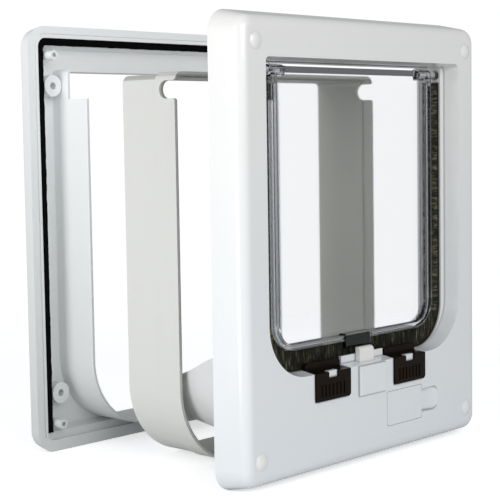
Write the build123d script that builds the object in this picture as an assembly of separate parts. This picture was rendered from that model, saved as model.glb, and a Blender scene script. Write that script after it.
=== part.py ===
from build123d import *
import os

# A cat flap for a door, set out as its three groups stand on a table: the front unit, the tunnel
# extension behind it and the rear frame behind that. X runs across the door, +Y runs outwards through
# the door, +Z is up and Z = 0 is the table. While modelling, Y = 0 is the front unit's door face.

# Cover plates, the same size on both faces of the door
cover_width = 211.0
cover_height = 244.0
cover_corner = 12.0
side_draft = 11.8
screw_spacing_x = 183.0
screw_spacing_z = 211.0

# Front frame moulding
frame_depth = 19.5
frame_wall = 2.4
front_edge_radius = 6.0
side_border = 21.3
top_border = 24.0
housing_height = 55.3
recess_depth = 9.0
recess_lean = 1.5
recess_corner = 29.0
recess_top_corner = 2.5
ledge_width = 3.7
ledge_thickness = 2.4
screw_hole_radius = 2.2
screw_boss_radius = 5.2
screw_boss_set = 0.5
rib_thickness = 1.6
rib_count = 3
opening_top_corner = 2.0
opening_sill = 0.2
opening_head = 0.3

# Domed plugs over the four fixing screws
cap_radius = 4.4
cap_dome = 1.4
cap_stem = 3.2
cap_seat = 5.0
cap_stem_length = 4.0

# Opening of the front frame and the ring behind it that centres the tunnel
throat_thickness = 3.6
throat_roof = 2.0
ring_bottom = 10.5
ring_corner = 42.5
ring_top_corner = 3.5
ring_wall = 2.4
ring_reach = 8.0
opening_corner = 24.0
cover_seat = -2.0

# Tunnel extension
tunnel_fit = 0.4
tunnel_wall = 2.0
tunnel_length = 41.0
bell_step = 1.0
bell_length = 15.0
bell_socket = 6.2
notch_depth = 11.5
notch_height = 9.6
notch_mouth_radius = 1.5
tunnel_place = 44.5

# Rear frame
rear_place = 139.3
rear_depth = 10.5
rear_wall = 2.2
rear_edge_radius = 3.5
flange_width = 4.2
groove_width = 1.3
groove_depth = 0.8
tray_lean = 2.0
inner_corner_least = 2.0
lip_width = 1.2
lip_height = 0.6
foam_width = 4.3
foam_height = 3.4
foam_end_height = 10.2
collar_fit = 0.5
collar_wall = 1.5
collar_reach = 21.3
collar_top_reach = 5.3
collar_step_height = 202.7
small_boss_radius = 2.7
small_boss_hole = 1.3
small_boss_tip = 6.0
large_boss_radius = 6.1
large_boss_hole = 2.0
large_boss_x = 88.0
large_boss_z = 88.35

# Flap, hung on two clear pins
pile_gap = 0.3
pile_thickness = 5.0
backing_thickness = 1.0
side_pile_length = 7.3
bottom_pile_length = 9.9
flap_corner = 16.0
flap_top_corner = 2.0
bay_top_corner = 1.0
pile_setback = 1.2
pile_end = 2.0
flap_plane = -6.95
rim_width = 5.2
rim_foot = 3.2
rim_depth = 6.5
rim_edge = 1.1
rim_channel_depth = 1.6
pane_thickness = 2.0
top_bar_height = 3.2
top_bar_depth = 4.6
pivot_drop = 5.0
bar_below_pivot = 0.8
pin_radius = 2.35
pin_play = 0.05
hub_length = 11.5
strike_width = 21.0
strike_height = 6.0
strike_depth = 3.0
strike_setback = 0.3
strike_cover = 0.6
strike_drop = 3.3
housing_side = 1.2

# Clear clips that carry the pins
clip_height = 9.0
clip_reach = 3.0
clip_thickness = 2.5
slip = 0.1

# Latches
latch_place = 34.3
latch_width = 29.0
latch_rise = 0.1
latch_plate_height = 15.0
latch_block_height = 4.8
latch_proud = 1.0
latch_plate = 2.2
latch_block = 1.9
latch_block_gap = 0.6
latch_leg = 1.6
latch_leg_width = 20.0
latch_leg_length = 7.2
latch_corner = 2.0
latch_travel = 7.0
latch_ribs = 7
latch_rib_width = 1.2
latch_rib_pitch = 3.1
latch_rib_height = 6.6
latch_rib_proud = 0.45
tongue_width = 7.2
tongue_proud = 0.1
tongue_rise = 0.4
tongue_notch = 3.1
tongue_root = 3.0
running_gap = 0.1
clear_gap = 0.3
seam = 1.0
half_seam = 0.5

# Catch and the solenoid that lifts it
block_half = 11.8
block_step = 0.6
block_height = 16.3
block_proud = 1.5
guide_half = 18.5
guide_thickness = 1.6
guide_height = 5.2
catch_width = 12.5
catch_front = -16.0
catch_back = -13.0
catch_drop = 0.4
catch_foot_drop = 10.9
catch_foot_height = 2.5
catch_foot_reach = 3.4
catch_round = 2.4
solenoid_plane = -9.5
coil_gap = 2.0
coil_height = 20.0
coil_radius = 6.2
bobbin_radius = 7.1
bobbin_flange = 1.2
bobbin_tube = 3.1
plunger_radius = 2.2
plunger_length = 16.0
yoke_thickness = 1.2
yoke_half = 8.5
yoke_inset = 0.3
yoke_side_inset = 3.3
spring_radius = 2.4
spring_wire = 0.35
spring_turns = 4

# Battery, its cover and its compartment
battery_x = 30.0
battery_z = 27.3
battery_width = 26.5
battery_height = 17.5
battery_body = 46.4
battery_terminal = 2.1
terminal_radius = 2.9
terminal_spacing = 12.7
battery_play = 0.5
sleeve_wall = 1.5
door_width = 32.6
door_height = 19.2
door_thickness = 1.6
door_gap = 0.2
door_skirt = 1.2
door_corner = 1.2
battery_corner = 1.5
connector_inset = 1.0
scoop_width = 15.8
scoop_height = 13.9
scoop_depth = 4.5
scoop_corner = 4.0
connector_thickness = 2.0

# Rear housing of the front unit
cover_wall = 2.0
hump_half = 79.2
hump_rise = 8.5
hump_swell = 1.0
hump_crown = 17.0
hump_bottom = 15.0
hump_keel = 15.0
hump_nose = 39.0
hump_depth = 60.0
hump_fullness = 0.62
hump_corner = 15.0
hump_side_gap = 1.0
cover_screw_inset = 15.9
cover_screw_z = 22.5
cover_screw_middle = (-20.0, 21.0)
screw_well_wall = 1.5
cover_screw_radius = 1.5
cover_screw_head = 2.9
cover_screw_length = 9.0
screw_bite = 0.3
screw_head_height = 1.8
screw_head_round = 1.0
screw_slot = 0.7
screw_slot_depth = 0.8
cover_boss_radius = 3.3

# Circuit board
board_left = -69.0
board_right = -14.0
board_bottom = 26.5
board_top_gap = 1.9
board_thickness = 1.6
chip_place = (18.0, 7.0)
chip_size = (12.0, 2.2, 12.0)
driver_place = (35.0, 4.0)
driver_size = (6.0, 1.8, 8.0)
plug_place = (46.0, 4.0)
plug_size = (6.0, 5.0, 10.0)
capacitor_radius = 3.0
capacitor_length = 7.0
capacitor_edge = 5.0
capacitor_spacing = 8.0

# Worked out from the values above
middle = cover_height / 2
face_front = -frame_depth
face_back = face_front + frame_wall
recess_half = cover_width / 2 - side_border
recess_top = cover_height - top_border
ledge_front = face_front + recess_depth
ledge_back = ledge_front + ledge_thickness
opening_half = recess_half - recess_lean - ledge_width
opening_bottom = housing_height + recess_lean - opening_sill
opening_top = recess_top - recess_lean + opening_head
ring_half = opening_half + throat_thickness
ring_top = opening_top + throat_roof
chamber_top = housing_height - frame_wall
pivot_z = opening_top - pivot_drop
flap_half = opening_half - backing_thickness - side_pile_length - pile_gap
flap_bottom = opening_bottom + backing_thickness + bottom_pile_length + pile_gap
flap_top = pivot_z + top_bar_height - bar_below_pivot
flap_front = flap_plane - rim_depth / 2
flap_back = flap_plane + rim_depth / 2
pile_front = ledge_front + pile_setback
pile_back = pile_front + pile_thickness
hub_radius = rim_depth / 2
strike_bottom = flap_bottom - strike_drop
latch_front = face_front - latch_proud
latch_back = latch_front + latch_plate
latch_shelf_top = housing_height + latch_rise
latch_bottom = latch_shelf_top - latch_plate_height
latch_top = latch_shelf_top + latch_block_height
latch_shelf = latch_shelf_top - latch_plate
block_back = flap_front - latch_block_gap
block_top = housing_height - block_step
block_bottom = block_top - block_height
catch_top = strike_bottom - catch_drop
catch_foot_bottom = chamber_top - catch_foot_drop
coil_bottom = catch_foot_bottom - coil_gap - coil_height
board_top = chamber_top - board_top_gap
hump_top = housing_height + hump_rise
cover_screw_x = ring_half - ring_corner + cover_screw_inset
door_left = battery_x - door_width / 2
door_right = door_left + door_width
battery_front = face_front + door_thickness + door_skirt + clear_gap
battery_end = battery_front + battery_body + battery_terminal
tunnel_drop = ring_bottom - tunnel_fit - tunnel_wall
foam_inset = flange_width + groove_width + lip_width
tray_inset = foam_inset + foam_width

corners = [
    (side * screw_spacing_x / 2, middle + level * screw_spacing_z / 2)
    for side in (-1, 1)
    for level in (-1, 1)
]


# Flat shape with square top corners and large bottom corners, drawn as seen from the room
def d_outline(half, bottom, top, corner, top_corner):
    sheet = Pos(0, (bottom + top) / 2) * Rectangle(2 * half, top - bottom)
    sheet = fillet(sheet.vertices().sort_by(Axis.Y)[:2], corner)
    return fillet(sheet.vertices().sort_by(Axis.Y)[-2:], top_corner)


# Ring shape shared by the front ring, the tunnel and the rear collar, grown or shrunk by an offset
def passage(offset):
    half = ring_half + offset
    top_corner = max(ring_top_corner + offset, half_seam)
    return d_outline(half, ring_bottom - offset, ring_top + offset, ring_corner + offset, top_corner)


# Straight block between two depths
def slab(outline, near, far):
    return extrude(Plane.XZ.offset(-far) * outline, amount=far - near)


# Block whose outline changes between two depths
def blend(near_outline, near, far_outline, far):
    return loft([Plane.XZ.offset(-near) * near_outline, Plane.XZ.offset(-far) * far_outline], ruled=True)


def box(x_low, x_high, y_low, y_high, z_low, z_high):
    centre = Pos((x_low + x_high) / 2, (y_low + y_high) / 2, (z_low + z_high) / 2)
    return centre * Box(x_high - x_low, y_high - y_low, z_high - z_low)


def below(height):
    return box(-cover_width, cover_width, -cover_width, cover_width, 0, height)


def above(height):
    return box(-cover_width, cover_width, -cover_width, cover_width, height, cover_height)


def rod_y(x, z, radius, near, far):
    return slab(Pos(x, z) * Circle(radius), near, far)


def rod_x(y, z, radius, low, high):
    return extrude(Plane.YZ.offset(low) * Pos(y, z) * Circle(radius), amount=high - low)


def rod_z(x, y, radius, low, high):
    return extrude(Plane.XY.offset(low) * Pos(x, y) * Circle(radius), amount=high - low)


# Cover plate block with drafted sides and a rounded front edge, from Y = 0 towards the room
def cover_block(inset, depth, edge_radius):
    width = cover_width - 2 * inset
    height = cover_height - 2 * inset
    outline = Pos(0, middle) * RectangleRounded(width, height, cover_corner - inset)
    block = extrude(Plane.XZ * outline, amount=depth, taper=side_draft)
    return fillet(block.faces().sort_by(Axis.Y)[0].edges(), edge_radius)


def recess_block(grow):
    at_face = d_outline(
        recess_half + grow,
        housing_height - grow,
        recess_top + grow,
        recess_corner + grow,
        recess_top_corner + grow,
    )
    lean = recess_lean - grow
    at_ledge = d_outline(
        recess_half - lean,
        housing_height + lean,
        recess_top - lean,
        recess_corner - lean,
        recess_top_corner + grow,
    )
    return blend(at_face, face_front, at_ledge, ledge_front)


def ledge_outline():
    lean = recess_lean - frame_wall
    return d_outline(
        recess_half - lean,
        housing_height + lean,
        recess_top - lean,
        recess_corner - lean,
        recess_top_corner,
    )


def opening_outline(shrink):
    half = opening_half - shrink
    corner = opening_corner - shrink
    return d_outline(half, opening_bottom + shrink, opening_top - shrink, corner, opening_top_corner)


def flap_outline(grow):
    half = flap_half + grow
    return d_outline(half, flap_bottom - grow, flap_top + grow, flap_corner + grow, flap_top_corner)


# Outline of the pane inside the flap's rim
def bay_outline(grow):
    half = flap_half - rim_width + grow
    low = flap_bottom + rim_foot - grow
    high = flap_top - top_bar_height + grow
    return d_outline(half, low, high, flap_corner - rim_width + grow, bay_top_corner)


# Back-to-front ribs between the side wall and the recess
def frame_ribs():
    ribs = []
    span = (recess_top - housing_height) / (rib_count + 1)
    low = recess_half + frame_wall / 2
    high = cover_width / 2 - frame_wall / 2
    for number in range(1, rib_count + 1):
        z = housing_height + number * span
        for side in (-1, 1):
            near_x, far_x = sorted((side * low, side * high))
            thickness = rib_thickness / 2
            rib = box(near_x, far_x, face_back - seam, ledge_back - half_seam, z - thickness, z + thickness)
            ribs.append(rib)
    return ribs


def cover_screw_places():
    return [(-cover_screw_x, cover_screw_z), (cover_screw_x, cover_screw_z), cover_screw_middle]


# Walled passage for the battery, from the face panel back to the rear housing
def battery_box(near, far, grow):
    half_x = battery_width / 2 + battery_play + grow
    half_z = battery_height / 2 + battery_play + grow
    return box(battery_x - half_x, battery_x + half_x, near, far, battery_z - half_z, battery_z + half_z)


def scoop():
    outline = RectangleRounded(2 * scoop_width, scoop_height, scoop_corner)
    outline = Pos(door_right, battery_z) * outline
    radius = (scoop_width**2 + scoop_depth**2) / (2 * scoop_depth)
    dish = rod_z(door_right, face_front + scoop_depth - radius, radius, 0, middle)
    right_half = box(door_right - door_gap, cover_width / 2, face_front - seam, 0, 0, middle)
    return slab(outline, face_front - seam, face_front + scoop_depth + seam) & dish & right_half


def front_frame():
    outside = cover_block(0, frame_depth, front_edge_radius)
    frame = outside - cover_block(frame_wall, frame_depth - frame_wall, front_edge_radius - frame_wall)
    frame += [rib & outside for rib in frame_ribs()]
    frame += recess_block(frame_wall)
    frame += slab(ledge_outline(), ledge_front, ledge_back)
    frame += slab(passage(0), face_back, ring_reach)
    frame -= recess_block(0)
    frame -= slab(opening_outline(0), face_front - seam, cover_seat)
    frame -= slab(passage(-ring_wall), face_back, cover_seat) & below(chamber_top)
    frame -= slab(passage(-ring_wall), cover_seat, ring_reach + seam)
    frame = with_screw_bosses(frame)
    frame = with_battery_opening(frame)
    frame = with_latch_slots(frame)
    frame = with_catch_block(frame)
    for side in (-1, 1):
        low, high = sorted((side * (opening_half - seam), side * (ring_half + seam)))
        frame -= rod_x(flap_plane, pivot_z, pin_radius + slip, low, high)
    return frame


def with_screw_bosses(frame):
    for x, z in corners:
        frame += rod_y(x, z, screw_boss_radius, face_back - seam, -screw_boss_set)
    for x, z in corners:
        frame -= rod_y(x, z, screw_hole_radius, face_front - seam, seam)
        frame -= rod_y(x, z, cap_stem + slip, face_front - seam, face_front + cap_seat)
    for x, z in cover_screw_places():
        frame += rod_y(x, z, cover_boss_radius, face_back - seam, cover_seat)
        frame -= rod_y(x, z, cover_screw_radius - screw_bite, cover_seat - cover_screw_length, cover_seat)
    return frame


def with_battery_opening(frame):
    frame += battery_box(face_back - seam, cover_seat, sleeve_wall)
    pad = RectangleRounded(door_width + 2 * sleeve_wall, door_height + 2 * sleeve_wall, 2 * door_corner)
    frame += slab(Pos(battery_x, battery_z) * pad, face_back - seam, face_back + sleeve_wall)
    right = door_right + scoop_width + sleeve_wall
    half = scoop_height / 2 + sleeve_wall
    depth = face_front + scoop_depth + sleeve_wall
    frame += box(door_right - seam, right, face_back - seam, depth, battery_z - half, battery_z + half)
    frame -= battery_box(face_front - seam, cover_seat + seam, 0)
    frame -= slab(door_outline(door_gap), face_front - seam, face_front + door_thickness)
    return frame - scoop()


def with_latch_slots(frame):
    for side in (-1, 1):
        x = side * latch_place
        half = latch_width / 2 + clear_gap
        floor = latch_back + running_gap
        frame -= box(x - half, x + half, face_front - seam, floor, latch_bottom - clear_gap, latch_top)
        low = latch_shelf - clear_gap
        frame -= box(x - half, x + half, face_front - seam, block_back + clear_gap, low, latch_top)
        tongue = tongue_width / 2
        front = face_front - tongue_proud
        root = low - tongue_root
        frame += box(x - tongue, x + tongue, front, face_back, root, latch_shelf_top + tongue_rise)
    return frame


def with_catch_block(frame):
    block = box(-block_half, block_half, face_front - block_proud, face_back, block_bottom, block_top)
    front = block.faces().sort_by(Axis.Y)[0].edges()
    frame += fillet(front, block_proud / 2)
    guide = catch_back + clear_gap
    guide_top = housing_height + guide_height
    frame += box(-guide_half, guide_half, guide, guide + guide_thickness, chamber_top, guide_top)
    half = catch_width / 2 + clear_gap
    frame -= box(-half, half, catch_front - clear_gap, guide, chamber_top - seam, guide_top)
    shelf = coil_bottom - yoke_thickness
    far = cover_seat - half_seam
    frame += box(-yoke_half, yoke_half, face_back - half_seam, far, shelf - frame_wall, shelf)
    return frame


def screw_cap(x, z):
    ball = (cap_radius**2 + cap_dome**2) / (2 * cap_dome)
    dome = Pos(x, face_front - cap_dome + ball, z) * Sphere(ball)
    dome &= rod_y(x, z, cap_radius, face_front - 2 * cap_dome, face_front)
    return dome + rod_y(x, z, cap_stem, face_front, face_front + cap_stem_length)


def screw_caps():
    return Compound(children=[screw_cap(x, z) for x, z in corners])


def door_outline(grow):
    sheet = RectangleRounded(door_width + 2 * grow, door_height + 2 * grow, door_corner)
    return Pos(battery_x, battery_z) * sheet


def battery_cover():
    skirt_far = face_front + door_thickness + door_skirt
    skirt = battery_box(face_front + door_thickness, skirt_far, -door_gap)
    skirt -= battery_box(face_front + door_thickness, skirt_far, -door_gap - door_skirt)
    return slab(door_outline(0), face_front, face_front + door_thickness) + skirt


def battery():
    half_x = battery_width / 2
    half_z = battery_height / 2
    far = battery_front + battery_body
    x_low = battery_x - half_x
    cell = box(x_low, x_low + battery_width, battery_front, far, battery_z - half_z, battery_z + half_z)
    cell = fillet(cell.edges().filter_by(Axis.Y), battery_corner)
    for side in (-1, 1):
        cell += rod_y(battery_x + side * terminal_spacing / 2, battery_z, terminal_radius, far, battery_end)
    return cell


def battery_connector():
    width = battery_width - 2 * connector_inset
    plate = RectangleRounded(width, battery_height - 2 * connector_inset, battery_corner)
    return slab(Pos(battery_x, battery_z) * plate, battery_end, battery_end + connector_thickness)


# Point that rounds the housing between its nose and a level part above or below it
def hump_shoulder(level, nose):
    y = level[0] + hump_fullness * (nose[0] - level[0])
    z = nose[1] + hump_fullness * (level[1] - nose[1])
    return (y, z)


# Rounded housing behind the face with its nose towards the tunnel, shrunk by an inset for its inside
def hump(inset, near):
    start = cover_seat - seam
    back = (cover_seat + cover_wall, hump_top - inset)
    crown = (hump_crown, hump_top - inset + hump_swell)
    nose = (hump_depth - inset, hump_nose)
    keel = (hump_keel, hump_bottom + inset)
    side = [
        Line((start, keel[1]), (start, back[1])),
        Line((start, back[1]), back),
        Spline(back, crown, tangents=((1, 2 * hump_swell / hump_crown), (1, 0))),
        Spline(crown, hump_shoulder(crown, nose), nose, tangents=((1, 0), (0, -1))),
        Spline(nose, hump_shoulder(keel, nose), keel, tangents=((0, -1), (-1, 0))),
        Line(keel, (start, keel[1])),
    ]
    side = make_face(side)
    far = hump_depth - inset
    half = hump_half - inset
    body = extrude(Plane.YZ.offset(-half) * side, amount=2 * half)
    plan = Pos(0, 0) * Rectangle(2 * half, 2 * far)
    plan = fillet(plan.vertices().sort_by(Axis.Y)[-2:], hump_corner - inset)
    body &= extrude(plan, amount=middle)
    shrink = ring_wall + hump_side_gap + inset
    return body & slab(passage(-shrink), near, far)


def rear_housing():
    housing = slab(passage(-ring_wall - slip), cover_seat, cover_seat + cover_wall) & below(hump_top)
    housing += hump(0, cover_seat + cover_wall)
    far = battery_end + connector_thickness + slip
    housing += battery_box(cover_seat, far + sleeve_wall, sleeve_wall)
    inside = hump(cover_wall, cover_seat - seam)
    well = cover_screw_head + clear_gap
    for x, z in cover_screw_places():
        inside -= rod_y(x, z, well + screw_well_wall, cover_seat, hump_depth)
    housing -= inside
    housing += battery_box(cover_seat, far + sleeve_wall, sleeve_wall)
    housing -= battery_box(cover_seat - seam, far, 0)
    for x, z in cover_screw_places():
        housing -= rod_y(x, z, well, cover_seat + cover_wall, hump_depth)
        housing -= rod_y(x, z, cover_screw_radius + slip, cover_seat - seam, cover_seat + cover_wall + seam)
    return housing


def cover_screw(x, z):
    seat = cover_seat + cover_wall
    tip = cover_seat - cover_screw_length + seam
    shank = rod_y(x, z, cover_screw_radius - screw_bite, tip, seat)
    top = seat + screw_head_height
    head = rod_y(x, z, cover_screw_head, seat, top)
    head = fillet(head.faces().sort_by(Axis.Y)[-1].edges(), screw_head_round)
    reach = cover_screw_head - screw_head_round
    half = screw_slot / 2
    return shank + head - box(x - reach, x + reach, top - screw_slot_depth, top + seam, z - half, z + half)


def cover_screws():
    return Compound(children=[cover_screw(x, z) for x, z in cover_screw_places()])


def hinge_clip(side):
    low, high = sorted((side * (flap_half - hub_length + seam), side * (ring_half + slip)))
    clip = rod_x(flap_plane, pivot_z, pin_radius, low, high)
    end_radius = clip_height / 2
    front = ledge_back + slip
    straight = clip_reach - end_radius
    near, far = sorted((side * (ring_half + slip), side * (ring_half + slip + clip_thickness)))
    clip += box(near, far, front, straight, pivot_z - end_radius, pivot_z + end_radius)
    return clip + rod_x(straight, pivot_z, end_radius, near, far)


def flap():
    door = slab(flap_outline(0), flap_front, flap_back)
    door -= slab(bay_outline(0), flap_front, flap_back - pane_thickness)
    hub_start = flap_half - hub_length
    bar_low = flap_top - top_bar_height
    door -= box(-hub_start, hub_start, flap_front, flap_back - top_bar_depth, bar_low, flap_top)
    channel = slab(flap_outline(-rim_edge), flap_front, flap_front + rim_channel_depth)
    channel -= slab(bay_outline(rim_edge), flap_front, flap_front + rim_channel_depth)
    channel -= box(-flap_half, flap_half, flap_front, flap_back, pivot_z - 2 * hub_radius, cover_height)
    door -= channel
    for side in (-1, 1):
        low, high = sorted((side * hub_start, side * flap_half))
        door += rod_x(flap_plane, pivot_z, hub_radius, low, high)
    door += strike_housing()
    door -= strike_block()
    for side in (-1, 1):
        low, high = sorted((side * hub_start, side * flap_half))
        door -= rod_x(flap_plane, pivot_z, pin_radius + pin_play, low, high)
    return door


def strike_block():
    half = strike_width / 2
    front = flap_front + strike_setback
    return box(-half, half, front, front + strike_depth, strike_bottom, strike_bottom + strike_height)


def strike_housing():
    half = strike_width / 2 + housing_side
    front = flap_front + strike_setback - strike_cover
    top = strike_bottom + strike_height + housing_side
    shell = box(-half, half, front, flap_back, strike_bottom, top)
    return fillet(shell.edges().filter_by(Axis.Y).sort_by(Axis.Z)[-2:], housing_side)


# Strip that holds the brush round the sides and bottom of the opening
def brush_backing():
    strip = slab(opening_outline(0), pile_front, pile_back)
    strip -= slab(opening_outline(backing_thickness), pile_front, pile_back)
    return strip & below(pivot_z - pin_radius - pile_end)


def brush_pile():
    pile = slab(opening_outline(backing_thickness), pile_front, pile_back)
    pile -= slab(flap_outline(pile_gap), pile_front, pile_back)
    half = strike_width / 2 + housing_side + pile_gap
    top = strike_bottom - 2 * pile_gap
    pile -= box(-half, half, pile_front, pile_back, top, middle)
    return pile & below(pivot_z - pin_radius - pile_end)


def latch(side):
    x = side * latch_place
    half = latch_width / 2
    plate = box(x - half, x + half, latch_front, latch_back, latch_bottom, latch_shelf_top)
    bottom_edges = plate.edges().filter_by(Axis.Y).sort_by(Axis.Z)[:2]
    piece = fillet(bottom_edges, latch_corner)
    piece += box(x - half, x + half, latch_front, block_back, latch_shelf, latch_shelf_top)
    block = box(x - half, x + half, block_back - latch_block, block_back, latch_shelf, latch_top)
    piece += fillet(block.edges().filter_by(Axis.Y).sort_by(Axis.Z)[-2:], latch_corner)
    leg_half = latch_leg_width / 2
    leg_front = face_back + 2 * running_gap
    leg_bottom = latch_shelf - latch_leg_length
    piece += box(x - leg_half, x + leg_half, leg_front, leg_front + latch_leg, leg_bottom, latch_shelf)
    slot_half = tongue_width / 2 + clear_gap
    slot_front = face_front - tongue_proud - running_gap
    low = latch_shelf - clear_gap - tongue_root - latch_travel
    piece -= box(x - slot_half, x + slot_half, slot_front, face_back + running_gap, low, latch_top)
    notch_low = latch_shelf_top - tongue_notch
    piece -= box(x - slot_half, x + slot_half, latch_front, slot_front, notch_low, latch_shelf_top)
    start = x - (latch_ribs - 1) / 2 * latch_rib_pitch - latch_rib_width / 2
    rib_low = latch_bottom + latch_corner
    rib_high = rib_low + latch_rib_height
    for number in range(latch_ribs):
        low = start + number * latch_rib_pitch
        front = latch_front - latch_rib_proud
        piece += box(low, low + latch_rib_width, front, latch_front, rib_low, rib_high)
    return piece


def catch():
    half = catch_width / 2
    nose = box(-half, half, catch_front, catch_back, catch_foot_bottom, catch_top)
    front_edge = nose.edges().filter_by(Axis.X).sort_by(Axis.Z)[-2:].sort_by(Axis.Y)[0]
    nose = fillet(front_edge, catch_round)
    foot_top = catch_foot_bottom + catch_foot_height
    foot_back = solenoid_plane + catch_foot_reach
    return nose + box(-half, half, catch_front, foot_back, catch_foot_bottom, foot_top)


def catch_spring():
    low = catch_foot_bottom + catch_foot_height + spring_wire
    high = chamber_top - spring_wire
    radius = spring_radius - spring_wire
    path = Helix(pitch=(high - low) / spring_turns, height=high - low, radius=radius)
    section = Plane(origin=path @ 0, z_dir=path % 0) * Circle(spring_wire)
    return Pos(0, solenoid_plane, low) * sweep(section, path=path)


def solenoid_plunger():
    return rod_z(0, solenoid_plane, plunger_radius, catch_foot_bottom - plunger_length, catch_foot_bottom)


def solenoid_bobbin():
    top = coil_bottom + coil_height
    bobbin = rod_z(0, solenoid_plane, bobbin_tube, coil_bottom, top)
    bobbin += rod_z(0, solenoid_plane, bobbin_radius, coil_bottom, coil_bottom + bobbin_flange)
    bobbin += rod_z(0, solenoid_plane, bobbin_radius, top - bobbin_flange, top)
    return bobbin - rod_z(0, solenoid_plane, plunger_radius + running_gap, coil_bottom, top)


def solenoid_coil():
    low = coil_bottom + bobbin_flange
    high = coil_bottom + coil_height - bobbin_flange
    winding = rod_z(0, solenoid_plane, coil_radius, low, high)
    return winding - rod_z(0, solenoid_plane, bobbin_tube, low, high)


def solenoid_yoke():
    top = coil_bottom + coil_height
    near = solenoid_plane - bobbin_radius + yoke_inset
    far = solenoid_plane + bobbin_radius - yoke_inset
    yoke = box(-yoke_half, yoke_half, near, far, coil_bottom - yoke_thickness, coil_bottom)
    yoke += box(-yoke_half, yoke_half, near, far, top, top + yoke_thickness)
    side_half = bobbin_radius - yoke_side_inset
    near = solenoid_plane - side_half
    far = solenoid_plane + side_half
    yoke += box(-yoke_half, yoke_thickness - yoke_half, near, far, coil_bottom, top)
    hole = plunger_radius + clear_gap
    return yoke - rod_z(0, solenoid_plane, hole, 0, middle)


def circuit_board():
    back = cover_seat
    front = back - board_thickness
    board = box(board_left, board_right, front, back, board_bottom, board_top)
    chips = ((chip_place, chip_size), (driver_place, driver_size), (plug_place, plug_size))
    for (across, up), (width, depth, height) in chips:
        low = board_left + across
        base = board_bottom + up
        board += box(low, low + width, front - depth, front, base, base + height)
    for step in (0, 1):
        x = board_right - capacitor_edge - step * capacitor_spacing
        z = board_top - capacitor_edge
        board += rod_y(x, z, capacitor_radius, front - capacitor_length, front)
    return board


def tunnel():
    outside = tunnel_fit + tunnel_wall
    far = tunnel_length
    shell = slab(passage(outside), 0, bell_length) + slab(passage(outside - bell_step), bell_length, far)
    shell -= slab(passage(outside - tunnel_wall), 0, bell_socket)
    shell -= slab(passage(outside - bell_step - tunnel_wall), 0, far)
    end = notch_height / 2
    straight = notch_depth - end
    span = ring_half + 2 * outside
    shell -= box(-span, span, 0, straight, pivot_z - end, pivot_z + end)
    shell -= rod_x(straight, pivot_z, end, -span, span)
    mouth = [
        edge
        for edge in shell.edges().filter_by(Axis.X)
        if abs(edge.center().Y) < 0.01 and abs(abs(edge.center().Z - pivot_z) - end) < 0.01
    ]
    shell = fillet(mouth, notch_mouth_radius)
    return Pos(0, tunnel_place, -tunnel_drop) * shell


def rim_outline(inset):
    width = cover_width - 2 * inset
    height = cover_height - 2 * inset
    return Pos(0, middle) * RectangleRounded(width, height, max(cover_corner - inset, inner_corner_least))


# Shallow tray whose rim faces the door, drawn with the rim at Y = 0 and the outside towards +Y
def rear_frame():
    floor = rear_depth - rear_wall
    frame = mirror(cover_block(0, rear_depth, rear_edge_radius), Plane.XZ)
    lip = slab(rim_outline(foam_inset - lip_width), -lip_height, 0)
    lip -= slab(rim_outline(foam_inset), -lip_height, 0)
    lip &= above(foam_end_height - lip_width)
    frame += lip
    groove = slab(rim_outline(flange_width), 0, groove_depth)
    groove -= slab(rim_outline(flange_width + groove_width), 0, groove_depth)
    frame -= groove & above(foam_end_height - lip_width)
    shelf = foam_height - lip_height
    frame -= slab(rim_outline(foam_inset), 0, shelf)
    frame -= blend(rim_outline(tray_inset), shelf, rim_outline(tray_inset + tray_lean), floor)
    outside = tunnel_fit - bell_step - collar_fit
    inside = outside - collar_wall
    frame += slab(passage(outside), -collar_top_reach, floor + half_seam)
    reach = slab(passage(outside), -collar_reach, -collar_top_reach)
    frame += reach & box(-cover_width, cover_width, -collar_reach, 0, 0, collar_step_height)
    for x, z in corners:
        frame += rod_y(x, z, small_boss_radius, -small_boss_tip, floor + half_seam)
        frame -= rod_y(x, z, small_boss_hole, -small_boss_tip, floor - seam)
    for side in (-1, 1):
        for level in (-1, 1):
            x = side * large_boss_x
            z = middle + level * large_boss_z
            frame += rod_y(x, z, large_boss_radius, 0, floor + half_seam)
            frame -= rod_y(x, z, large_boss_hole, 0, floor)
    frame -= slab(passage(inside), -collar_reach, rear_depth)
    return Pos(0, rear_place, 0) * frame


def foam_seal():
    near = -lip_height
    strip = slab(rim_outline(foam_inset), near, near + foam_height)
    strip -= slab(rim_outline(tray_inset), near, near + foam_height)
    strip &= box(-cover_width, cover_width, near, foam_height, foam_end_height, cover_height)
    return Pos(0, rear_place, 0) * strip


nodes = {
    "front_frame": front_frame(),
    "screw_caps": screw_caps(),
    "rear_housing": rear_housing(),
    "cover_screws": cover_screws(),
    "hinge_clip_left": hinge_clip(-1),
    "hinge_clip_right": hinge_clip(1),
    "flap": flap(),
    "strike_block": strike_block(),
    "brush_pile": brush_pile(),
    "brush_backing": brush_backing(),
    "latch_left": latch(-1),
    "latch_right": latch(1),
    "catch": catch(),
    "catch_spring": catch_spring(),
    "solenoid_plunger": solenoid_plunger(),
    "solenoid_bobbin": solenoid_bobbin(),
    "solenoid_coil": solenoid_coil(),
    "solenoid_yoke": solenoid_yoke(),
    "circuit_board": circuit_board(),
    "battery": battery(),
    "battery_connector": battery_connector(),
    "battery_cover": battery_cover(),
    "tunnel": tunnel(),
    "rear_frame": rear_frame(),
    "foam_seal": foam_seal(),
}

# The origin lies under the middle of the whole display
front_most = face_front - block_proud
rear_most = rear_place + rear_depth
to_origin = Pos(0, -(front_most + rear_most) / 2, 0)

os.makedirs("parts", exist_ok=True)
for name, piece in nodes.items():
    export_step(to_origin * piece, f"parts/{name}.step")
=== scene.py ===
import math

import bmesh
import bpy
from mathutils import Matrix, Vector, noise


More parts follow.
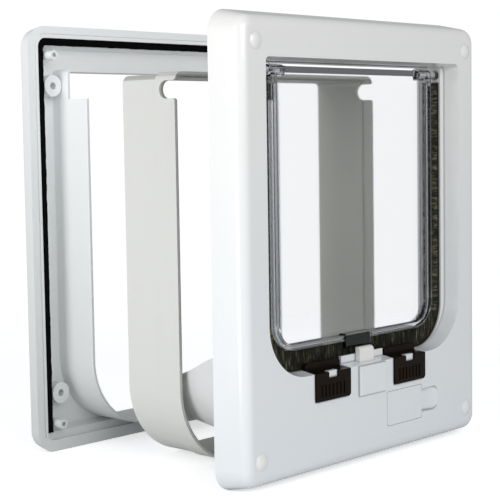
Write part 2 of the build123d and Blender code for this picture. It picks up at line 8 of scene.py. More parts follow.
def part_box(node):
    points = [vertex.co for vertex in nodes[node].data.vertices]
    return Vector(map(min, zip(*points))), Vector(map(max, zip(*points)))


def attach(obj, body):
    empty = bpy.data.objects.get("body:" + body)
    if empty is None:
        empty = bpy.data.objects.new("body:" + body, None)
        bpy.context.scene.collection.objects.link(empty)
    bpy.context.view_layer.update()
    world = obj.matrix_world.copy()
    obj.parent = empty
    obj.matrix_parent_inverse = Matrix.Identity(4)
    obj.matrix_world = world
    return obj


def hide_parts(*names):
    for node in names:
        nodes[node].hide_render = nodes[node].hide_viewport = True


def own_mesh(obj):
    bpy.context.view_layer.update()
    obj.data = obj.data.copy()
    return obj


# Looks of the cat flap: every finish, the brush, the foam strip, the return spring and the studio
# round them. All sizes are in metres.

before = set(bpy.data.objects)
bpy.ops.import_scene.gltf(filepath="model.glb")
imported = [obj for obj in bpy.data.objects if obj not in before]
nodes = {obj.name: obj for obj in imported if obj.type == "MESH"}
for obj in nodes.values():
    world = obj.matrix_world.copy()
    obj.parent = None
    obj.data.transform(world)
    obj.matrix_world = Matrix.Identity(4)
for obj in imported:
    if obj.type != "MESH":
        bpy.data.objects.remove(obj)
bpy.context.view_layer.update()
print("frame loaded:", len(nodes), "nodes")


# Numbers that flow through a shader, so that maths on them reads as plain maths
class Signal:
    def __init__(self, paint, socket):
        self.paint = paint
        self.socket = socket

    def maths(self, operation, first, second):
        return self.paint.maths(operation, first, second)

    def __add__(self, other):
        return self.maths("ADD", self, other)

    def __radd__(self, other):
        return self.maths("ADD", other, self)

    def __sub__(self, other):
        return self.maths("SUBTRACT", self, other)

    def __rsub__(self, other):
        return self.maths("SUBTRACT", other, self)

    def __mul__(self, other):
        return self.maths("MULTIPLY", self, other)

    def __rmul__(self, other):
        return self.maths("MULTIPLY", other, self)

    def __truediv__(self, other):
        return self.maths("DIVIDE", self, other)

    def __pow__(self, other):
        return self.maths("POWER", self, other)

    def __gt__(self, other):
        return self.maths("GREATER_THAN", self, other)

    def __lt__(self, other):
        return self.maths("LESS_THAN", self, other)


# One procedural material, or the world's shader, while it is being put together
class Paint:
    def __init__(self, name, owner=None):
        self.material = owner or bpy.data.materials.new(name)
        self.material.use_nodes = True
        self.tree = self.material.node_tree
        self.tree.nodes.clear()

    # Settings come first, then the values or links of the sockets
    def node(self, kind, settings=None, inputs=None, output=0):
        made = self.tree.nodes.new(kind)
        for name, value in (settings or {}).items():
            if name == "stops":
                ramp = made.color_ramp
                while len(ramp.elements) < len(value):
                    ramp.elements.new(0.5)
                for element, (place, colour) in zip(ramp.elements, value):
                    element.position = place
                    element.color = (*colour, 1)
            else:
                setattr(made, name, value)
        for name, value in (inputs or {}).items():
            if isinstance(value, Signal):
                self.tree.links.new(value.socket, made.inputs[name])
            else:
                made.inputs[name].default_value = value
        return Signal(self, made.outputs[output] if made.outputs else None)

    def maths(self, operation, first, second=0.0):
        return self.node("ShaderNodeMath", {"operation": operation}, {0: first, 1: second})

    # Sockets 6 and 7 of a Mix node are its two colours, and output 2 is the mixed one
    def between(self, amount, first, second):
        colours = {0: amount, 6: first, 7: second}
        return self.node("ShaderNodeMix", {"data_type": "RGBA"}, colours, output=2)

    def spot(self, stretch=(1, 1, 1)):
        place = self.node("ShaderNodeTexCoord", output="Object")
        return self.node("ShaderNodeMapping", {}, {"Vector": place, "Scale": stretch})

    def axes(self):
        parts = self.node("ShaderNodeSeparateXYZ", {}, {"Vector": self.spot()})
        return [Signal(self, socket) for socket in parts.socket.node.outputs]

    def grain(self, scale, detail, stretch=(1, 1, 1)):
        values = {"Vector": self.spot(stretch), "Scale": scale, "Detail": detail}
        return self.node("ShaderNodeTexNoise", {}, values)

    # Distance inwards from an outline with straight sides and rounded bottom corners, and how much
    # of that distance is upwards from the bottom
    def inward(self, outline):
        across, _, up = self.axes()
        half, low, corner = outline
        side = self.maths("MAXIMUM", self.maths("ABSOLUTE", across) - (half - corner), -corner)
        under = self.maths("MAXIMUM", (low + corner) - up, -corner)
        outSide = self.maths("MAXIMUM", side, 0.0)
        outUnder = self.maths("MAXIMUM", under, 0.0)
        reach = (outSide * outSide + outUnder * outUnder) ** 0.5
        both = self.maths("MAXIMUM", side, under)
        depth = corner - reach - self.maths("MINIMUM", both, 0.0)
        return depth, outUnder / (outSide + outUnder + 0.00001)

    def relief(self, height, distance):
        return self.node("ShaderNodeBump", {}, {"Distance": distance, "Height": height})

    def surface(self, shader, kind="ShaderNodeOutputMaterial"):
        self.node(kind, {}, {"Surface": shader})

    def finish(self, values):
        self.surface(self.node("ShaderNodeBsdfPrincipled", {}, values))
        return self.material


def rgba(colour, gain=1.0):
    return (colour[0] * gain, colour[1] * gain, colour[2] * gain, 1)


# Moulded plastics: colour, how far it drifts, gloss, height of the mould's texture and the coat.
# shadedFoot is the colour at the table, a painted shade that goes over to the main one in height.
# inside is a painted shade, the colour more than skin within the outline (half width, bottom,
# corner) and below roof. creaseShadeReach is how near a neighbour darkens an edge with painted
# shade.
plastics = {
    "frontWhite": {
        "colour": (0.85, 0.846, 0.828), "drift": 0.025, "rough": 0.2, "peel": 0.000012, "coat": 0.5,
        "shadedFoot": (0.775, 0.805, 0.83), "height": 0.244, "creaseShadeReach": 0.0012,
    },
    "capWhite": {
        "colour": (0.85, 0.85, 0.84), "drift": 0.02, "rough": 0.18, "peel": 0.000006, "coat": 0.4,
        "creaseShadeReach": 0.0012,
    },
    "housingWhite": {
        "colour": (0.78, 0.785, 0.785), "drift": 0.03, "rough": 0.26, "peel": 0.000016, "coat": 0.3,
    },
    "catchWhite": {
        "colour": (0.84, 0.83, 0.81), "drift": 0.02, "rough": 0.3, "peel": 0.00001, "coat": 0.1,
    },
    "tunnelGrey": {
        "colour": (0.71, 0.712, 0.685), "drift": 0.03, "rough": 0.38, "peel": 0.000022, "coat": 0.0,
        "inside": (0.47, 0.47, 0.425), "outline": (0.085, 0.0, 0.0449), "skin": 0.0015,
        "roof": 0.2136,
    },
    "rearGrey": {
        "colour": (0.85, 0.868, 0.872), "drift": 0.03, "rough": 0.34, "peel": 0.000018, "coat": 0.1,
        "shadedFoot": (0.60, 0.615, 0.615), "height": 0.244,
    },
    "latchBrown": {
        "colour": (0.0085, 0.0048, 0.0024), "drift": 0.25, "rough": 0.26, "peel": 0.00002,
        "coat": 0.0, "shine": 0.08,
    },
    "bobbinBlack": {
        "colour": (0.015, 0.015, 0.015), "drift": 0.2, "rough": 0.45, "peel": 0.00001, "coat": 0.0,
    },
    "stripBrown": {
        "colour": (0.02, 0.017, 0.011), "drift": 0.2, "rough": 0.7, "peel": 0.00002, "coat": 0.0,
        "shine": 0.1,
    },
}

# What all moulded plastics share. Here and below, a grain is a noise's scale and detail.
mouldKit = {
    "cloud": (11, 3),
    "speck": (420, 2),
    "fine": (650, 1),
    "wavy": (130, 2),
    "cloudShare": 0.7,
    "fineShare": 0.7,
    "wavyShare": 0.6,
    "cloudGloss": 0.08,
    "speckGloss": 0.05,
    "coatRough": 0.08,
    "shine": 0.5,
    "refraction": 1.5,
    "creaseShadeRays": 8,
    "creaseShadeFade": 1.6,
    "creaseShadeTone": 0.2,
}


def mouldedPlastic(name):
    kit = plastics[name]
    paint = Paint(name)
    cloud = paint.grain(*mouldKit["cloud"])
    speck = paint.grain(*mouldKit["speck"])
    fine = paint.grain(*mouldKit["fine"]) * mouldKit["fineShare"]
    wavy = paint.grain(*mouldKit["wavy"]) * mouldKit["wavyShare"]
    drift = cloud * mouldKit["cloudShare"] + speck * (1 - mouldKit["cloudShare"])
    low = rgba(kit["colour"], 1 - kit["drift"])
    high = rgba(kit["colour"], 1 + kit["drift"])
    colour = paint.between(drift, low, high)
    # painted shade: the tunnel's inner faces get a darker olive colour
    if "inside" in kit:
        depth, _ = paint.inward(kit["outline"])
        _, _, up = paint.axes()
        shadedWithin = (depth > kit["skin"]) * (up < kit["roof"])
        colour = paint.between(shadedWithin, colour, rgba(kit["inside"]))
    # painted shade: darker towards the bottom, going over to the main colour in height
    if "shadedFoot" in kit:
        _, _, up = paint.axes()
        colour = paint.between(up / kit["height"], rgba(kit["shadedFoot"]), colour)
    # painted shade: ambient occlusion darkens the colour in gaps, round the caps and along edges
    # near a neighbour
    if "creaseShadeReach" in kit:
        rays = {"samples": mouldKit["creaseShadeRays"]}
        unoccluded = paint.node("ShaderNodeAmbientOcclusion", rays, {"Distance": kit["creaseShadeReach"]}, "AO")
        shade = rgba(kit["colour"], mouldKit["creaseShadeTone"])
        colour = paint.between(unoccluded ** mouldKit["creaseShadeFade"], shade, colour)
    cloudy = (cloud - 0.5) * mouldKit["cloudGloss"]
    specked = (speck - 0.5) * mouldKit["speckGloss"]
    return paint.finish({
        "Base Color": colour,
        "Roughness": kit["rough"] + cloudy + specked,
        "Coat Weight": kit["coat"],
        "Coat Roughness": mouldKit["coatRough"],
        "Specular IOR Level": kit.get("shine", mouldKit["shine"]),
        "IOR": mouldKit["refraction"],
        "Normal": paint.relief(fine + wavy, kit["peel"]),
    })


# Clear polished plastic of the flap and its clips. The channelled rim and the bar at the top get
# painted
# reflection of dark sides: two painted dark lines run round the rim, at shares of its width, and
# the bar is painted dark.
clearKit = {
    "colour": (0.965, 0.972, 0.99),
    "paintedDark": (0.12, 0.125, 0.135),
    "rough": 0.03,
    "ripples": (38, 1),
    "ripple": 0.00003,
    "haze": (300, 3),
    "hazeShade": 0.99,
    "hazeGloss": 0.02,
    "refraction": 1.49,
    "outline": (0.0704, 0.0678, 0.016),
    "sideRim": 0.0052,
    "lowRim": 0.0032,
    "outerLine": 0.15,
    "outerPaintedDark": 0.7,
    "innerLine": (0.6, 1.0),
    "innerPaintedDark": 0.55,
    "bar": 0.213,
    "barHalf": 0.0589,
}


def clearPlastic():
    paint = Paint("clearPlastic")
    ripple = paint.grain(*clearKit["ripples"])
    haze = paint.grain(*clearKit["haze"])
    depth, under = paint.inward(clearKit["outline"])
    across, _, up = paint.axes()
    share = depth / (clearKit["sideRim"] + under * (clearKit["lowRim"] - clearKit["sideRim"]))
    # painted reflection: dark lines round the rim and the dark top bar, mixed into the colour
    outer = (share < clearKit["outerLine"]) * clearKit["outerPaintedDark"]
    start, end = clearKit["innerLine"]
    inner = (share > start) * (share < end)
    rim = outer + inner * clearKit["innerPaintedDark"]
    high = up > clearKit["bar"]
    bar = high * (paint.maths("ABSOLUTE", across) < clearKit["barHalf"])
    paintedDark = paint.maths("MAXIMUM", rim * (1 - high), bar)
    hazy = rgba(clearKit["colour"], clearKit["hazeShade"])
    clear = paint.between(haze, hazy, rgba(clearKit["colour"]))
    return paint.finish({
        "Base Color": paint.between(paintedDark, clear, rgba(clearKit["paintedDark"])),
        "Roughness": clearKit["rough"] + haze * clearKit["hazeGloss"],
        "Transmission Weight": 1.0,
        "IOR": clearKit["refraction"],
        "Normal": paint.relief(ripple, clearKit["ripple"]),
    })


# Metals: colour, gloss, the way the brushing or drawing runs
metals = {
    "zincSteel": {
        "colour": (0.62, 0.63, 0.65), "rough": 0.34, "stretch": (1, 1, 1), "metal": 1.0,
    },
    "springSteel": {
        "colour": (0.58, 0.58, 0.6), "rough": 0.26, "stretch": (1, 1, 6), "metal": 1.0,
    },
    "slateSteel": {
        "colour": (0.02, 0.024, 0.024), "rough": 0.45, "stretch": (0.2, 1, 1), "metal": 0.0,
    },
    "batteryCan": {
        "colour": (0.46, 0.47, 0.5), "rough": 0.36, "stretch": (1, 0.15, 1), "metal": 0.9,
    },
}
metalKit = {
    "lines": (900, 2),
    "cloud": (60, 3),
    "lineShare": 0.6,
    "shades": (0.88, 1.1),
    "gloss": 0.2,
    "relief": 0.000012,
}


def drawnMetal(name):
    kit = metals[name]
    paint = Paint(name)
    lines = paint.grain(*metalKit["lines"], kit["stretch"])
    cloud = paint.grain(*metalKit["cloud"])
    mixed = lines * metalKit["lineShare"] + cloud * (1 - metalKit["lineShare"])
    dark, light = [rgba(kit["colour"], shade) for shade in metalKit["shades"]]
    return paint.finish({
        "Base Color": paint.between(mixed, dark, light),
        "Roughness": kit["rough"] + (mixed - 0.5) * metalKit["gloss"],
        "Metallic": kit["metal"],
        "Normal": paint.relief(lines, metalKit["relief"]),
    })


# Enamelled copper, wound in close turns, with painted shade darkening the grooves between turns
coilKit = {
    "pitch": 0.0004,
    "colour": (0.55, 0.19, 0.07),
    "edge": (0.16, 0.045, 0.015),
    "rough": 0.42,
    "crownGloss": 0.16,
    "metal": 0.85,
    "relief": 0.00008,
}


def woundCopper():
    paint = Paint("woundCopper")
    _, _, up = paint.axes()
    half = coilKit["pitch"] / 2
    crown = paint.maths("PINGPONG", up, half) / half
    return paint.finish({
        # painted shade: colour darkens from each turn's crown towards its edges
        "Base Color": paint.between(crown, rgba(coilKit["edge"]), rgba(coilKit["colour"])),
        "Roughness": coilKit["rough"] - crown * coilKit["crownGloss"],
        "Metallic": coilKit["metal"],
        "Normal": paint.relief(crown ** 0.5, coilKit["relief"]),
    })


# Green board with tracks under the mask. line and gap are shares of the pitch.
boardKit = {
    "mask": (0.012, 0.09, 0.035),
    "track": (0.03, 0.17, 0.07),
    "pitch": 0.0018,
    "line": 0.42,
    "gap": 0.2,
    "bends": (120, 1),
    "wander": 0.002,
    "dust": (300, 2),
    "rough": 0.3,
    "dustGloss": 0.15,
    "relief": 0.00004,
}


def boardGreen():
    paint = Paint("boardGreen")
    across, _, up = paint.axes()
    pitch = boardKit["pitch"]
    wander = paint.grain(*boardKit["bends"]) * boardKit["wander"]
    rows = paint.maths("PINGPONG", up + wander, pitch / 2)
    columns = paint.maths("PINGPONG", across + wander, pitch)
    track = (rows < pitch * boardKit["line"] / 2) * (columns > pitch * boardKit["gap"])
    return paint.finish({
        "Base Color": paint.between(track, rgba(boardKit["mask"]), rgba(boardKit["track"])),
        "Roughness": boardKit["rough"] + paint.grain(*boardKit["dust"]) * boardKit["dustGloss"],
        "Normal": paint.relief(track, boardKit["relief"]),
    })


# Black closed-cell foam. cut is where the strip's ends stop above the table.
foamKit = {
    "colour": (0.0016, 0.0016, 0.0017),
    "shades": (0.7, 1.8),
    "pore": 1500,
    "relief": 0.00012,
    "dust": (260, 3),
    "rough": 0.82,
    "dustGloss": 0.12,
    "shine": 0.06,
    "merge": 0.00001,
    "cut": 0.0112,
    "voxel": 0.0006,
    "smoothings": 2,
    "waves": 160,
    "nicks": 520,
    "nickShare": 0.6,
    "wander": 0.00022,
    "slack": 0.00015,
}


def blackFoam():
    paint = Paint("blackFoam")
    cells = {"Vector": paint.spot(), "Scale": foamKit["pore"]}
    pores = paint.node("ShaderNodeTexVoronoi", {}, cells)
    dust = paint.grain(*foamKit["dust"])
    dark, light = [rgba(foamKit["colour"], shade) for shade in foamKit["shades"]]
    return paint.finish({
        "Base Color": paint.between(dust, dark, light),
        "Roughness": foamKit["rough"] + dust * foamKit["dustGloss"],
        "Specular IOR Level": foamKit["shine"],
        "Normal": paint.relief(pores, foamKit["relief"]),
    })


# Brush: fibres set in ranks round the sides and bottom of the opening
brushKit = {
    "pitch": 0.00042,
    "ranks": 9,
    "root": 0.00018,
    "tip": 0.0001,
    "corner": 0.023,
    "length": 0.0072,
    "lowLength": 0.0098,
    "flapCorner": 0.0163,
    "notchHalf": 0.0121,
    "notchDrop": 0.0036,
    "swirls": (900, 240),
    "swirlDepth": 0.5,
    "droop": 0.0003,
    "trim": 700,
    "uneven": 0.0006,
    "seed": 11,
}
# Its tone: fans of fibres lie sideways up the sides, and upright below lowBand
fibreKit = {
    "dark": (0.34, (0.006, 0.006, 0.004)),
    "mid": (0.5, (0.03, 0.028, 0.017)),
    "pale": (0.68, (0.26, 0.24, 0.145)),
    "fan": (1300, 1),
    "sideways": (0.12, 0.5, 1),
    "upright": (1, 0.5, 0.12),
    "lowBand": 0.076,
    "lowShade": 0.07,
    "strand": (2600, 1),
    "fanShare": 0.75,
    "rough": 0.6,
    "strandGloss": 0.2,
    "shine": 0.25,
}


def brushFibre():
    paint = Paint("brushFibre")
    _, _, up = paint.axes()
    low = up < fibreKit["lowBand"]
    sideways = paint.grain(*fibreKit["fan"], fibreKit["sideways"]) * (1 - low)
    upright = paint.grain(*fibreKit["fan"], fibreKit["upright"]) * low
    strand = paint.grain(*fibreKit["strand"])
    share = fibreKit["fanShare"]
    tone = (sideways + upright) * share + strand * (1 - share) - low * fibreKit["lowShade"]
    stops = [fibreKit[name] for name in ("dark", "mid", "pale")]
    colour = paint.node("ShaderNodeValToRGB", {"stops": stops}, {"Fac": tone})
    return paint.finish({
        "Base Color": colour,
        "Roughness": fibreKit["rough"] + strand * fibreKit["strandGloss"],
        "Specular IOR Level": fibreKit["shine"],
    })


# Turns a bmesh into an object of its own, at the origin
def newPiece(name, shape, material, body, smooth=True):
    mesh = bpy.data.meshes.new(name)
    shape.to_mesh(mesh)
    shape.free()
    if smooth:
        mesh.shade_smooth()
    mesh.materials.append(material)
    piece = bpy.data.objects.new(name, mesh)
    bpy.context.scene.collection.objects.link(piece)
    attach(piece, body)
    return piece


# One rank of fibres through the pile's thickness, laid from its root along a direction
def fibreRank(shape, root, along, length, depths):
    near, far = depths
    count = brushKit["ranks"]
    made = []
    turn = Vector((0, 0, 1)).rotation_difference(along).to_matrix().to_4x4()
    for number in range(count):
        depth = near + (far - near) * (number + 0.5) / count
        middle = Vector((root.x, depth, root.z)) + along * length / 2
        fibre = bmesh.ops.create_cone(
            shape,
            cap_ends=True,
            segments=3,
            radius1=brushKit["root"],
            radius2=brushKit["tip"],
            depth=length,
            matrix=Matrix.Translation(middle) @ turn,
        )
        made += fibre["verts"]
    return made


# A straight run of the brush: one rank, copied at even steps
def fibreRun(shape, root, along, length, depths, way, run):
    steps = int(run / brushKit["pitch"])
    verts = fibreRank(shape, root, along, length, depths)
    edges = {edge for vert in verts for edge in vert.link_edges}
    faces = {face for vert in verts for face in vert.link_faces}
    rank = verts + list(edges) + list(faces)
    bmesh.ops.spin(shape, geom=rank, cent=root, axis=(0, 1, 0), angle=0, dvec=way * (run / steps),
                   steps=steps - 1, use_duplicate=True)


# Distance from the brush's corner centre to the flap's rounded corner in one direction
def flapReach(out):
    corner = brushKit["corner"]
    inner = brushKit["flapCorner"]
    aside = brushKit["length"] + inner - corner
    above = brushKit["lowLength"] + inner - corner
    shift = Vector((aside, 0, above))
    along = out.dot(shift)
    return along + math.sqrt(along * along - shift.length_squared + inner * inner)


def brushBristles():
    low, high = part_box("brush_pile")
    depths = (low.y + brushKit["root"], high.y - brushKit["root"])
    corner = brushKit["corner"]
    left, right = Vector((-1, 0, 0)), Vector((1, 0, 0))
    down, up = Vector((0, 0, -1)), Vector((0, 0, 1))
    shape = bmesh.new()
    # the left side, from the top down
    top = Vector((low.x, 0, high.z - brushKit["pitch"]))
    fibreRun(shape, top, right, brushKit["length"], depths, down, high.z - low.z - corner)
    # the left corner, where the fibres grow longer towards the bottom
    steps = int(corner * math.pi / 2 / brushKit["pitch"])
    centre = Vector((low.x + corner, 0, low.z + corner))
    for number in range(1, steps):
        angle = math.pi / 2 * number / steps
        out = left * math.cos(angle) + down * math.sin(angle)
        fibreRank(shape, centre + out * corner, -out, corner - flapReach(out), depths)
    # the left half of the bottom
    bottom = Vector((low.x + corner, 0, low.z))
    fibreRun(shape, bottom, up, brushKit["lowLength"], depths, right, -low.x - corner)
    parts = shape.verts[:] + shape.edges[:] + shape.faces[:]
    bmesh.ops.mirror(shape, geom=parts, axis="X", merge_dist=0)
    bmesh.ops.recalc_face_normals(shape, faces=shape.faces)
    tousle(shape, low, high)
    print("brush:", len(shape.faces), "faces")
    fibre = brushFibre()
    bristles = newPiece("brush_bristles", shape, fibre, "front_unit", smooth=False)
    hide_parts("brush_pile")


# Moves the fibres' tips a little, and keeps them off the flap's strike housing
def tousle(shape, low, high):
    corner = brushKit["corner"]
    wide, tight = brushKit["swirls"]
    ceiling = low.z + brushKit["lowLength"] - brushKit["notchDrop"]
    noise.seed_set(brushKit["seed"])  # noise_vector otherwise changes from run to run
    for vert in shape.verts:
        inX = min(abs(vert.co.x), -low.x - corner)
        inZ = max(vert.co.z, low.z + corner)
        hub = Vector((math.copysign(inX, vert.co.x), vert.co.y, inZ))
        out = vert.co - hub
        if corner - out.length < brushKit["length"] / 2:
            continue
        swirl = noise.noise_vector(vert.co * wide) + noise.noise_vector(vert.co * tight)
        swirl.y *= brushKit["swirlDepth"]
        shorter = abs(noise.noise(vert.co * brushKit["trim"])) * brushKit["uneven"]
        vert.co += swirl * brushKit["droop"]
        vert.co += out.normalized() * shorter
        vert.co.y = min(max(vert.co.y, low.y), high.y)
        vert.co.z = min(vert.co.z, high.z)
        if abs(vert.co.x) < brushKit["notchHalf"]:
            vert.co.z = min(vert.co.z, ceiling - shorter)


# Foam strip with soft edges and a slightly uneven cut
def foamStrip():
    shape = bmesh.new()
    shape.from_mesh(nodes["foam_seal"].data)
    bmesh.ops.remove_doubles(shape, verts=shape.verts, dist=foamKit["merge"])
    parts = shape.verts[:] + shape.edges[:] + shape.faces[:]
    cut = bmesh.ops.bisect_plane(shape, geom=parts, plane_co=(0, 0, foamKit["cut"]),
                                 plane_no=(0, 0, 1), clear_inner=True)
    rim = [edge for edge in cut["geom_cut"] if isinstance(edge, bmesh.types.BMEdge)]
    bmesh.ops.holes_fill(shape, edges=rim, sides=0)
    strip = newPiece("foam_strip", shape, blackFoam(), "rear_frame")
    remesh = strip.modifiers.new("cells", "REMESH")
    remesh.mode = "VOXEL"
    remesh.voxel_size = foamKit["voxel"]
    remesh.use_smooth_shade = True
    bpy.context.view_layer.update()
    ready = strip.evaluated_get(bpy.context.evaluated_depsgraph_get())
    skin = bpy.data.meshes.new_from_object(ready)
    strip.modifiers.clear()
    shape = bmesh.new()
    shape.from_mesh(skin)
    for _ in range(foamKit["smoothings"]):
        bmesh.ops.smooth_vert(shape, verts=shape.verts, factor=0.5, use_axis_x=True,
                              use_axis_y=True, use_axis_z=True)
    shape.normal_update()
    for vert in shape.verts:
        nick = noise.noise(vert.co * foamKit["nicks"]) * foamKit["nickShare"]
        ragged = noise.noise(vert.co * foamKit["waves"]) + nick
        vert.co += vert.normal * (ragged * foamKit["wander"] - foamKit["slack"])
    shape.to_mesh(strip.data)
    shape.free()
    strip.data.shade_smooth()
    print("foam:", len(strip.data.polygons), "faces")
    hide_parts("foam_seal")


# Return spring under the catch's guide
springKit = {
    "radius": 0.00205,
    "wire": 0.00035,
    "turns": 4,
    "sides": 8,
    "perTurn": 20,
    "rest": 0.0084,
    "travel": 0.0045,
}


def returnSpring():
    low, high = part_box("catch_spring")
    middle = (low + high) / 2
    wire = springKit["wire"]
    height = high.z - low.z - 2 * wire
    shape = bmesh.new()
    place = Matrix.Translation((middle.x + springKit["radius"], middle.y, low.z + wire))
    ring = bmesh.ops.create_circle(shape, cap_ends=False, segments=springKit["sides"], radius=wire,
                                   matrix=place @ Matrix.Rotation(math.pi / 2, 4, "X"))
    steps = springKit["turns"] * springKit["perTurn"]
    bmesh.ops.spin(shape, geom=ring["verts"] + shape.edges[:], cent=(middle.x, middle.y, 0),
                   axis=(0, 0, 1), dvec=(0, 0, height / steps),
                   angle=2 * math.pi * springKit["turns"], steps=steps)
    ends = [edge for edge in shape.edges if edge.is_boundary]
    bmesh.ops.holes_fill(shape, edges=ends, sides=springKit["sides"])
    bmesh.ops.recalc_face_normals(shape, faces=shape.faces)
    print("spring:", len(shape.faces), "faces")
    steel = drawnMetal("springSteel")
    spring = newPiece("return_spring", shape, steel, "front_unit")
    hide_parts("catch_spring")
    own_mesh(spring)


# Finish of each node that stays as it is
def dressNodes():
    white = mouldedPlastic("frontWhite")
    brown = mouldedPlastic("latchBrown")
    black = mouldedPlastic("bobbinBlack")
    clear = clearPlastic()
    zinc = drawnMetal("zincSteel")
    finishes = {
        "front_frame": white,
        "battery_cover": white,
        "screw_caps": mouldedPlastic("capWhite"),
        "rear_housing": mouldedPlastic("housingWhite"),
        "catch": mouldedPlastic("catchWhite"),
        "tunnel": mouldedPlastic("tunnelGrey"),
        "rear_frame": mouldedPlastic("rearGrey"),
        "latch_left": brown,
        "latch_right": brown,
        "brush_backing": mouldedPlastic("stripBrown"),
        "solenoid_bobbin": black,
        "battery_connector": black,
        "flap": clear,
        "hinge_clip_left": clear,
        "hinge_clip_right": clear,
        "strike_block": drawnMetal("slateSteel"),
        "cover_screws": zinc,
        "solenoid_yoke": zinc,
        "solenoid_plunger": drawnMetal("springSteel"),
        "battery": drawnMetal("batteryCan"),
        "solenoid_coil": woundCopper(),
        "circuit_board": boardGreen(),
    }
    for name, material in finishes.items():
        slots = nodes[name].material_slots
        for place in slots:
            place.material = material
        if not slots:
            nodes[name].data.materials.append(material)
    print("dressed", len(finishes), "nodes")


# Camera at the photograph's place: 183 mm above the table, turned to the right and slightly down
cameraKit = {
    "place": (-0.61826, -0.55853, 0.18311),
    "yaw": 47.63,
    "pitch": 4.763,
    "roll": 0.871,
    "lens": 102.92,
    "sensor": 36,
    "nearest": 0.01,
}


def addCamera():
    yaw, pitch, roll = (math.radians(cameraKit[name]) for name in ("yaw", "pitch", "roll"))
    side = Vector((math.cos(yaw), -math.sin(yaw), 0))
    level = Vector((math.sin(yaw), math.cos(yaw), 0))
    ahead = level * math.cos(pitch) - Vector((0, 0, math.sin(pitch)))
    up = side.cross(ahead)
    right = side * math.cos(roll) - up * math.sin(roll)
    top = side * math.sin(roll) + up * math.cos(roll)
    lens = bpy.data.cameras.new("camera")
    lens.lens = cameraKit["lens"]
    lens.sensor_width = cameraKit["sensor"]
    lens.clip_start = cameraKit["nearest"]
    camera = bpy.data.objects.new("camera", lens)
    turn = Matrix((right, top, -ahead)).transposed().to_4x4()
    camera.matrix_world = Matrix.Translation(cameraKit["place"]) @ turn
    bpy.context.scene.collection.objects.link(camera)
    bpy.context.scene.camera = camera


# Softboxes: place, width and height, power and tint, and the one node that a lamp is kept for
lampKit = {
    "left": {
        "place": (-1.5, 0.05, 0.3), "size": (0.6, 1.1), "power": 12.2, "tint": (1, 0.998, 0.99),
    },
    "front": {
        "place": (-0.3, -0.95, 0.55), "size": (0.7, 0.6), "power": 4.4, "tint": (1, 0.998, 0.99),
    },
    "rear": {
        "place": (-0.55, -0.75, 0.3), "size": (0.5, 0.5), "power": 1.8, "tint": (0.98, 0.99, 1),
        "only": "rear_frame",
    },
}
lampAim = (0, 0, 0.12)


def addLamps():
    for name, kit in lampKit.items():
        light = bpy.data.lights.new(name + "Softbox", "AREA")
        light.shape = "RECTANGLE"
        light.size, light.size_y = kit["size"]
        light.energy = kit["power"]
        light.color = kit["tint"]
        lamp = bpy.data.objects.new(name + "Softbox", light)
        lamp.location = kit["place"]
        toward = Vector(lampAim) - Vector(kit["place"])
        lamp.rotation_euler = toward.to_track_quat("-Z", "Y").to_euler()
        bpy.context.scene.collection.objects.link(lamp)
        if "only" in kit:
            lit = bpy.data.collections.new(name + "Lit")
            lit.objects.link(nodes[kit["only"]])
            lamp.light_linking.receiver_collection = lit
            lamp.light_linking.blocker_collection = lit


# One of the numbers that a ray carries, such as how often it was turned or let through
def ray(paint, name):
    return paint.node("ShaderNodeLightPath", output=name)


# One for a ray that clear plastic let through before anything scattered it, otherwise zero
def throughClear(paint):
    return ray(paint, "Is Transmission Ray") * (ray(paint, "Diffuse Depth") < 0.5)


# White behind the object, and a soft glow for the light it gives. A pane, which has two faces to
# cross, shows the white, and a rim that turns the view or has more faces shows the dark.
worldKit = {
    "shown": (1, 1, 1),
    "shownStrength": 1.02,
    "glow": (0.95, 0.975, 1.0),
    "glowStrength": 0.42,
    "dark": (0.1, 0.105, 0.11),
    "paneFaces": 2,
}


def backdrop(paint, colour, strength=1.0):
    return paint.node("ShaderNodeBackground", {}, {"Color": rgba(colour), "Strength": strength})


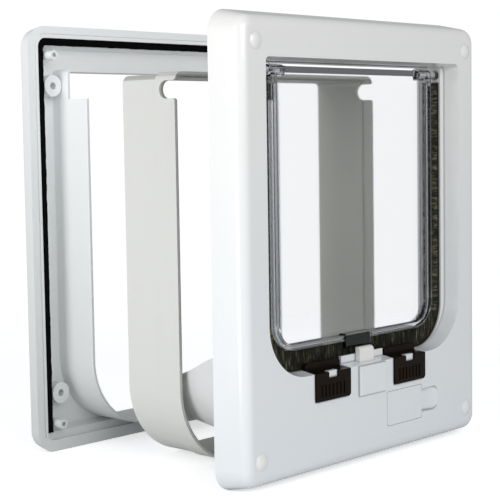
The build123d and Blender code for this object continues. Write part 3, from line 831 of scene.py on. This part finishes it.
def addWorld():
    world = bpy.data.worlds.new("studio")
    bpy.context.scene.world = world
    paint = Paint("studio", world)
    through = throughClear(paint)
    unturned = ray(paint, "Glossy Depth") < 0.5
    pane = through * unturned * (ray(paint, "Transmission Depth") < worldKit["paneFaces"] + 0.5)
    glow = backdrop(paint, worldKit["glow"], worldKit["glowStrength"])
    dark = backdrop(paint, worldKit["dark"])
    shown = backdrop(paint, worldKit["shown"], worldKit["shownStrength"])
    behind = ray(paint, "Is Camera Ray") + pane
    unseen = paint.node("ShaderNodeMixShader", {}, {0: through, 1: glow, 2: dark})
    seen = paint.node("ShaderNodeMixShader", {}, {0: behind, 1: unseen, 2: shown})
    paint.surface(seen, "ShaderNodeOutputWorld")


# Pale table top that fades out into the white behind. lift is a faint light of its own, which only
# the camera sees, so that it stays as pale as the white.
floorKit = {
    "radius": 3.0,
    "segments": 96,
    "solid": 0.3,
    "fade": 0.75,
    "colour": (0.86, 0.87, 0.88),
    "scuffs": (30, 2),
    "rough": 0.6,
    "scuffGloss": 0.1,
    "shine": 0.1,
    "lift": 0.56,
}


def addFloor():
    shape = bmesh.new()
    bmesh.ops.create_circle(shape, cap_ends=True, segments=floorKit["segments"],
                            radius=floorKit["radius"])
    mesh = bpy.data.meshes.new("floor")
    shape.to_mesh(mesh)
    shape.free()
    floor = bpy.data.objects.new("floor", mesh)
    bpy.context.scene.collection.objects.link(floor)
    paint = Paint("paleTable")
    across, along, _ = paint.axes()
    away = (across * across + along * along) ** 0.5
    fading = {"Value": away, "From Min": floorKit["solid"], "From Max": floorKit["fade"]}
    faded = paint.node("ShaderNodeMapRange", {"interpolation_type": "SMOOTHSTEP"}, fading)
    plain = {
        "Base Color": rgba(floorKit["colour"]),
        "Roughness": floorKit["rough"] + paint.grain(*floorKit["scuffs"]) * floorKit["scuffGloss"],
        "Specular IOR Level": floorKit["shine"],
        "Alpha": 1 - faded,
    }
    lifted = {**plain, "Emission Color": (1, 1, 1, 1), "Emission Strength": floorKit["lift"]}
    unseen = paint.node("ShaderNodeBsdfPrincipled", {}, plain)
    seen = paint.node("ShaderNodeBsdfPrincipled", {}, lifted)
    view = ray(paint, "Is Camera Ray") + throughClear(paint)
    paint.surface(paint.node("ShaderNodeMixShader", {}, {0: view, 1: unseen, 2: seen}))
    mesh.materials.append(paint.material)


addCamera()
addWorld()
addLamps()
addFloor()
print("studio set")
dressNodes()
brushBristles()
foamStrip()
returnSpring()
bpy.context.scene.view_settings.view_transform = "Standard"  # keeps the white behind white
